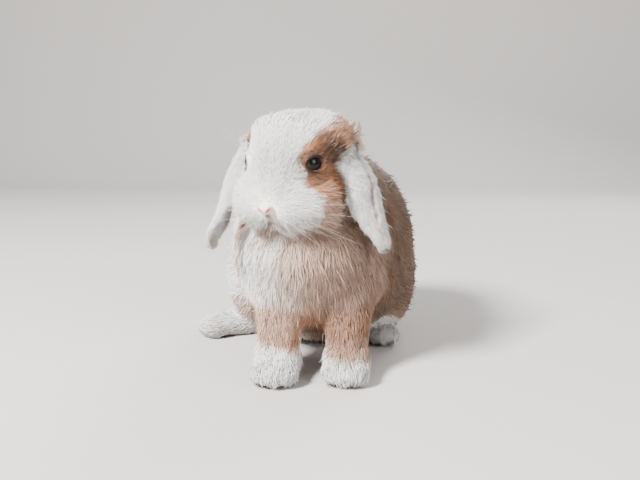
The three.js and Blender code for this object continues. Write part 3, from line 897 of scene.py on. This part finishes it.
def coat(name, kind, number, hair, thick, bent, every, pull, seen=0.6):
    """One piece of coat, of tufts whose length hair() gives."""
    number = int(number * FINE)
    roots, normals = GROUND.roots(GROWTH[name], number)
    _, on_leg, on_foot, _, to_eye = shares_of(roots)
    loose = crown_tuft(roots)
    lie, stand = lie_of_coat(roots, normals)
    lie = unit(lie - normals * (lie * normals).sum(-1)[:, None] + 0.02 * normals)
    swing = 0.22 * wobble(roots, 11) + 0.16 * rng.standard_normal(number)
    lie = lie * np.cos(swing)[:, None] + np.cross(normals, lie) * np.sin(swing)[:, None]
    long = hair(roots, on_leg, on_foot) * rng.uniform(0.75, 1.2, number)
    long = long * mix(0.45, 1.0, ramp(to_eye, 10, 17))
    stand = np.clip(stand + 0.4 * loose + 0.10 * rng.standard_normal(number), 0.08, 0.95)
    stray = rng.random(number) < (STRAYS_ON_HEAD if kind == "head" else STRAYS)
    stand = np.where(stray, np.minimum(stand + 0.25, 0.9), stand)
    long = long * (1 + 0.9 * loose + 0.35 * stray)
    roots = roots - SUNK * normals
    waists = roots + leaning(lie, normals, stand) * (BEND * long)[:, None]
    past_waist = leaning(lie, normals, stand * (0.35 if bent else 0.7))
    straight = waists + past_waist * ((1 - BEND) * long)[:, None]
    drawn = np.minimum(pull * (1 + loose) * rng.uniform(0.5, 1.0, number), 0.8)
    tips = gathered(roots, straight, every, drawn)
    waists = waists + (tips - straight) * 0.3
    width = thick * rng.uniform(0.75, 1.25, number) * mix(0.7, 1.0, ramp(to_eye, 12, 24))
    colours = tuft_colours(roots, tips, seen, loose)
    piece = spikes(name, roots, waists if bent else None, tips, width, kind, colours, normals)


EAR_TUFTS = [np.array([32.0, -48.0, 193.0]), np.array([-46.0, -30.0, 194.0])]
CREST = from_head([7, 4, 41])


def crown_tuft(p):
    """How far a place is in the loose tufts at the foot of each ear, or in the crest between."""
    away = np.minimum(*[length((p - spot) * [0.8, 0.8, 1.2]) for spot in EAR_TUFTS])
    return np.maximum(fade(away, 4, 14), 0.7 * fade(length(p - CREST), 2, 7))


def growth(p):
    """How densely each piece of the coat grows at places on the skin."""
    on_head, on_leg, on_foot, _, _ = shares_of(p)
    q = to_head(p)
    x, y, z = p.T
    ear = np.zeros(len(p), bool)
    for side in SIDES:
        measured = EAR[side].measure(p)
        ear |= fade(ear_skin(p, side, measured), 0.5, 1.6) * (measured[0] > 0.04) > 0.5
    head_only = ~ear & (on_head > 0.5)
    limb = ~ear & ~head_only & ((on_foot > 0.4) | (on_leg > 0.55))
    trunk = ~ear & ~head_only & ~limb
    face, chest, left, rump = q[:, 1] < -8, y < -8, x > -2, y > 88
    bare = (past_lids(p)[0] < 0.3) | (length((q - NOSE_AT) * NOSE_REACH) < 3.4)
    bare |= (taper(q, *LIP_CLEFT, (1.3, 1.6)) < 0.2) | (z < SOLE + 0.5)
    clear = np.where(bare, 0.0, 1.0)
    back = clear * (trunk & ~chest) * (0.35 + 0.65 * ramp(z, 0, 30))
    return {
        "coat_face": clear * (head_only & face) * (1 + 1.2 * ramp(-q[:, 1], 20, 50)),
        "coat_crown": clear * (head_only & ~face),
        "coat_ears": clear * ear,
        "coat_limbs": clear * limb,
        "coat_chest": clear * (trunk & chest),
        "coat_left": back * (left & ~rump),
        "coat_right": back * (~left & ~rump),
        "coat_rump": back * rump,
    }


def face_hair(p, *_):
    q = to_head(p)
    on_lip = fade(length((q - [0, -52, -21]) * [0.5, 0.8, 1]), 3, 9)
    grown = 2.2 + 4.6 * ramp(length(q - [0, -60, -6]), 4, 30) + 3.0 * ramp(-q[:, 2], 8, 30)
    return grown + 4.5 * on_lip * ramp(np.abs(q[:, 0]), 1, 6)


def crown_hair(p, *_):
    q = to_head(p)
    return 8.0 + 4.5 * ramp(-q[:, 2], -6, 26) + 2 * ramp(q[:, 1], 10, 36)


def body_hair(p, on_leg, on_foot):
    chest = fade(p[:, 1], -30, 0)
    return mix(mix(15.0, 17.5, chest), 9.0, np.maximum(on_leg, on_foot))


def limb_hair(_, on_leg, on_foot):
    return mix(mix(10.0, 10.5, on_leg), 8.0, on_foot)


def ear_hair(p, *_):
    return np.full(len(p), 7.0)


GROUND = Ground(skin_points, skin_quads)
GROWTH = growth(GROUND.middle)
FINE = 1.0
coat("coat_face", "head", 47500, face_hair, 0.6, False, 9, 0.35, seen=0.85)
coat("coat_crown", "head", 32000, crown_hair, 0.8, True, 9, 0.4)
coat("coat_ears", "ears", 47500, ear_hair, 0.6, False, 9, 0.3, seen=0.1)
coat("coat_limbs", "limbs", 32000, limb_hair, 0.75, True, 9, 0.35)
coat("coat_chest", "trunk", 32000, body_hair, 0.85, True, 10, 0.45)
coat("coat_left", "trunk", 32000, body_hair, 1.15, True, 10, 0.4)
coat("coat_right", "trunk", 32000, body_hair, 1.15, True, 10, 0.4)
coat("coat_rump", "trunk", 24000, body_hair, 1.2, True, 10, 0.4)

# ---- Eyes and lids ----


def toward(angle, bearing):
    """Directions in an eye's own axes, at angles from its middle and bearings round it."""
    return np.stack([np.sin(angle) * np.cos(bearing), np.sin(angle) * np.sin(bearing), np.cos(angle)], -1)


def ring_faces(rings, around):
    """Quads between closed rings of points."""
    i, j = np.meshgrid(np.arange(rings - 1), np.arange(around), indexing="ij")
    a, b = i * around + j, i * around + (j + 1) % around
    return np.stack([a, b, b + around, a + around], -1).reshape(-1, 4)


PUPIL, IRIS = math.radians(30), math.radians(52)  # from the middle of the eye to their edges
CORNEA = 0.035  # how far it bulges, as a share of the eye's radius


def eyeball(side):
    around, rings = 64, 40
    angles = np.linspace(0.002, math.pi - 0.002, rings)
    turns = np.arange(around) / around * 2 * math.pi
    angle, turn = [part.ravel() for part in np.meshgrid(angles, turns, indexing="ij")]
    bulge = 1 + CORNEA * fade(angle, 0.2, IRIS)
    points = EYES[side] + (toward(angle, turn) * bulge[:, None] * EYE_RADIUS) @ EYE_AXES[side]
    rays = 0.5 + 0.5 * np.sin(turn * 23 + 3 * np.sin(turn * 7))
    iris = paint(tint(34, 20, 13), tint(58, 35, 22), rays * 0.6)
    colour = layered(
        tint(6, 5, 5),
        (iris, ramp(angle, PUPIL - 0.03, PUPIL + 0.05)),
        (tint(20, 12, 9), ramp(angle, IRIS - 0.12, IRIS)),
    )
    faces = ring_faces(rings, around)[:, ::-1]
    piece = mesh_piece(f"eyeball_{SIDE_NAME[side]}", points, closed(faces, rings, around), EYE, colour)
    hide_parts(f"eye_{SIDE_NAME[side]}")


def closed(quads, rings, around):
    """The quads with a fan of narrow ones over each end ring."""
    i = np.arange(1, around - 1, 2)
    near = np.stack([i * 0, i, i + 1, (i + 2) % around], -1)
    far = near[:, ::-1] + (rings - 1) * around
    flip = quads[0, 0] != 0
    ends = [near[:, ::-1], far[:, ::-1]] if not flip else [near, far]
    return np.concatenate([quads, *ends])


PROBE_FROM, PROBE_TO, PROBE_STEP = 15.0, 6.0, 0.25
PROBE_BACK = 0.12  # the skin lies about half a step inside the last place found outside it


def skin_distance(side, directions):
    """How far from an eye's centre the skin is first met, along each direction."""
    met = np.full(len(directions), PROBE_FROM)
    for away in np.arange(PROBE_FROM, PROBE_TO, -PROBE_STEP):
        outside = bare_skin(EYES[side] + directions * away) > 0
        met = np.where(outside, away, met)
    return met - PROBE_BACK


# Rings of a lid: share of the way from the opening to the lid's foot; share of the way from the
# eyeball's surface to the skin; and the height above that, in millimetres.
LID_PROFILE = ((0.06, 0, -1.0), (0.0, 0, 0.15), (0.05, 0, 0.6), (0.18, 0.3, 0.8), (0.38, 0.9, 0.5),
               (0.7, 1, 0.25), (1.0, 1, -0.8), (0.6, 0.6, -1.8))
LID_THICK = 2.6  # at most, from the eyeball's surface to the skin


def eyelid(side):
    around = 72
    bearing = np.arange(around) / around * 2 * math.pi
    points, colours = [], []
    for past, share, above in LID_PROFILE:
        directions = toward(mix(opening_at(bearing), LID_FOOT, past), bearing) @ EYE_AXES[side]
        outer = np.clip(skin_distance(side, directions), EYE_RADIUS, EYE_RADIUS + LID_THICK)
        brow = 0.5 * np.maximum(np.sin(bearing), 0) * (0 < past < 0.6)
        away = mix(EYE_RADIUS, outer, share) + above + brow
        place = EYES[side] + directions * away[:, None]
        points.append(place)
        colours.append(paint(DARK * 0.5, markings(place), 0.85 * ramp(past, 0.15, 1.0)))
    faces = ring_faces(len(points) + 1, around)
    count = len(points) * around
    faces = np.where(faces >= count, faces - count, faces)
    piece = mesh_piece(f"eyelid_{SIDE_NAME[side]}", np.concatenate(points), faces, LID,
                       np.concatenate(colours))


for side in SIDES:
    eyeball(side)
    eyelid(side)

# ---- Nose ----


def nostril(q, side):
    return taper(q, (side * 1.3, -60.6, -6.4), (side * 5.4, -58.6, -2.8), (0.7, 0.8))


def nose_shape(p):
    q = to_head(p)
    d = mass(q, (0, -55.8, -5.2), (4.6, 3.8, 3.6))
    for side in SIDES:
        d = blend(d, mass(q, (side * 3.1, -56.4, -3.8), (2.9, 2.8, 2.4)), 2)
    for side in SIDES:
        d = carve(d, nostril(q, side), 0.6)
    return carve(d, taper(q, (0, -61, -6.5), (0, -59, -12), (0.55, 0.7)), 0.6)


def by_nostril(p, reach):
    """How near a place is to a nostril, from 0 at a distance to 1 inside it."""
    q = to_head(p)
    return fade(np.minimum(*[nostril(q, side) for side in SIDES]), -0.1, reach)


nose_lines = [middle + np.arange(-10, 10, 0.42) for middle in from_head([0, -56, -5])]
nose_points, nose_quads = net_over(nose_shape, *nose_lines)
nose_colours = layered(
    paint(WHITE, PINK, 0.45),
    (PINK, by_nostril(nose_points, 3.0)),
    (tint(150, 84, 80), by_nostril(nose_points, 0.8)),
)
nose_piece = mesh_piece("bare_nose", nose_points, nose_quads, NOSE, nose_colours)
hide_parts("nose")

# ---- Whiskers, brow hairs and claws ----

WHISKER_ROWS, WHISKER_COLUMNS, BROW_HAIRS = 4, 4, 3  # on each side


def rods(name, lines_of_points, radii, sides, material, root, tip):
    """Closed tapering rods along lines of points, from the colour of the root to that of the tip."""
    points, faces, colours = [], [], []
    for line, thick in zip(lines_of_points, radii):
        line = np.asarray(line)
        along = unit(np.gradient(line, axis=0))
        across = unit(np.cross(along, [0.3, 0.1, 1.0]))
        above = np.cross(along, across)
        turns = np.arange(sides) / sides * 2 * math.pi
        rings = [at + (np.outer(np.cos(turns), a) + np.outer(np.sin(turns), b)) * r
                 for at, a, b, r in zip(line, across, above, thick)]
        start = sum(len(part) for part in points)
        quads = ring_faces(len(line), sides)
        triangles = np.concatenate([quads[:, [0, 1, 2]], quads[:, [0, 2, 3]]])
        fan = np.array([[0, i + 1, i] for i in range(1, sides - 1)])
        end = (fan + (len(line) - 1) * sides)[:, ::-1]
        faces.append(np.concatenate([triangles, fan, end]) + start)
        points.append(np.concatenate(rings))
        shades = paint(root, tip, np.linspace(0, 1, len(line)))
        colours.append(np.repeat(shades, sides, axis=0))
    points, colours = np.concatenate(points), np.concatenate(colours)
    return mesh_piece(name, points, np.concatenate(faces), material, colours)


def long_hair(root, reach, bend, thick, steps):
    """A hair's middle line, from a root in the head's own axes, and its radius along it."""
    t = np.linspace(0, 1, steps)[:, None]
    return from_head(np.array(root) + reach * t + bend * t**2), thick * (1 - 0.8 * t[:, 0])


def whisker_lines():
    made = []
    for side in SIDES:
        for row in range(WHISKER_ROWS):
            for column in range(WHISKER_COLUMNS):
                root = (side * (9 + 3.0 * column), -54 + 3.4 * column, -8.5 - 3.1 * row)
                out = np.array([side * (0.75 + 0.22 * column), -0.42 + 0.17 * column, 0.26 - 0.3 * row])
                out = unit((out + 0.08 * rng.standard_normal(3))[None])[0]
                long = rng.uniform(30, 54) * (0.72 + 0.08 * column)
                bend = np.array([side * 0.1, 0.35, -0.28]) * rng.uniform(0.3, 1.0)
                made.append(long_hair(root, out * long, bend * long * 0.5, 0.13, 10))
        for i in range(BROW_HAIRS):
            root = (side * (21 + i), -27 + 1.5 * i, 24.5)
            out = unit(np.array([[side * 0.6, -0.5 + 0.15 * i, 0.9]]))[0]
            bend = np.array([side * 4.0, 3.0, 0.0])
            made.append(long_hair(root, out * rng.uniform(18, 30), bend, 0.1, 8))
    return zip(*made)


whiskers = rods("whiskers", *whisker_lines(), 3, WHISKER, tint(226, 216, 205), tint(246, 243, 238))


def claw(root, long, thick):
    """The middle line of a claw that points ahead and curves down, and its radius along it."""
    t = np.linspace(0, 1, 7)[:, None]
    line = np.array(root) + np.array([0, -long, -1.2]) * t + np.array([0, 0.6, -3.0]) * t**2
    return line, thick * (1 - 0.85 * t[:, 0] ** 1.4)


def claw_lines():
    made = []
    for side in SIDES:
        limb = LIMBS[side]
        x, y, z = limb["paw"]
        for across in TOE_SPREAD:
            root = (x + across, y - FOREPAW_RADII[1] + 4 + abs(across) / 3, z - 6.5)
            made.append(claw(root, 6.0, 0.95))
        for across in HIND_TOE_SPREAD:
            line, radius = claw((across, -limb["foot_radii"][1] + 4 + abs(across) / 2, -5.5), 6.5, 1.0)
            made.append((line @ turn_of(limb["foot_yaw"]).T + np.asarray(limb["foot"], float), radius))
    return zip(*made)


claws = rods("claws", *claw_lines(), 8, CLAW, tint(208, 184, 168), tint(138, 112, 94))

# ---- The plain studio ----


def floor_paint():
    material = bpy.data.materials.new("floor_paint")
    material.use_nodes = True
    fill(material.node_tree.nodes["Principled BSDF"], {
        "Base Color": (*tint(186, 181, 176), 1), "Roughness": 0.9, "Specular IOR Level": 0.1})
    return material


def backdrop():
    """A pale floor that curves up behind the animal, in metres."""
    near, far, wide, round_off, tall = -3.0, 1.6, 4.0, 0.8, 3.0
    bend = np.linspace(0, math.pi / 2, 17)
    curve = [(far + round_off * math.sin(a), round_off * (1 - math.cos(a))) for a in bend]
    profile = [(near, 0.0), *curve, (far + round_off, tall)]
    points = [(x, y, z) for x in (-wide, wide) for y, z in profile]
    count = len(profile)
    faces = [(i, i + count, i + count + 1, i + 1) for i in range(count - 1)]
    mesh = bpy.data.meshes.new("floor")
    mesh.from_pydata(points, [], faces)
    mesh.polygons.foreach_set("use_smooth", [True] * len(faces))
    mesh.materials.append(floor_paint())
    return placed("floor", mesh)


def area_light(name, at, aim, size, power):
    """A round light, in metres and watts."""
    data = bpy.data.lights.new(name, "AREA")
    data.shape, data.size, data.energy = "DISK", size, power
    light = placed(name, data)
    light.location = at
    direction = np.array(aim) - np.array(at)
    light.rotation_euler = Vector(direction).to_track_quat("-Z", "Y").to_euler()
    return light


backdrop()
area_light("key", (-1.1, -1.3, 1.5), (0, 0, 0.12), size=0.55, power=250)
area_light("fill", (1.6, -1.2, 0.9), (0, 0, 0.12), size=1.4, power=30)
area_light("rim", (0.7, 1.3, 1.3), (0, 0, 0.15), size=0.9, power=36)
world = bpy.data.worlds.new("studio")
world.use_nodes = True
fill(world.node_tree.nodes["Background"], {"Color": (0.9, 0.94, 1.0, 1), "Strength": 0.5})
bpy.context.scene.world = world

CAMERA_AT = (0.0657, -0.5906, 0.1955)
CAMERA_DIP, CAMERA_TURN = 9.46, 5.0  # degrees: down from level, and round from +Y towards -X
CAMERA_LENS, CAMERA_SENSOR = 37.1, 36  # millimetres
camera_data = bpy.data.cameras.new("camera")
camera_data.lens, camera_data.sensor_width = CAMERA_LENS, CAMERA_SENSOR
camera_data.clip_start = 0.01
camera = placed("camera", camera_data)
camera.location = CAMERA_AT
camera.rotation_euler = (math.radians(90 - CAMERA_DIP), 0, math.radians(CAMERA_TURN))
bpy.context.scene.camera = camera
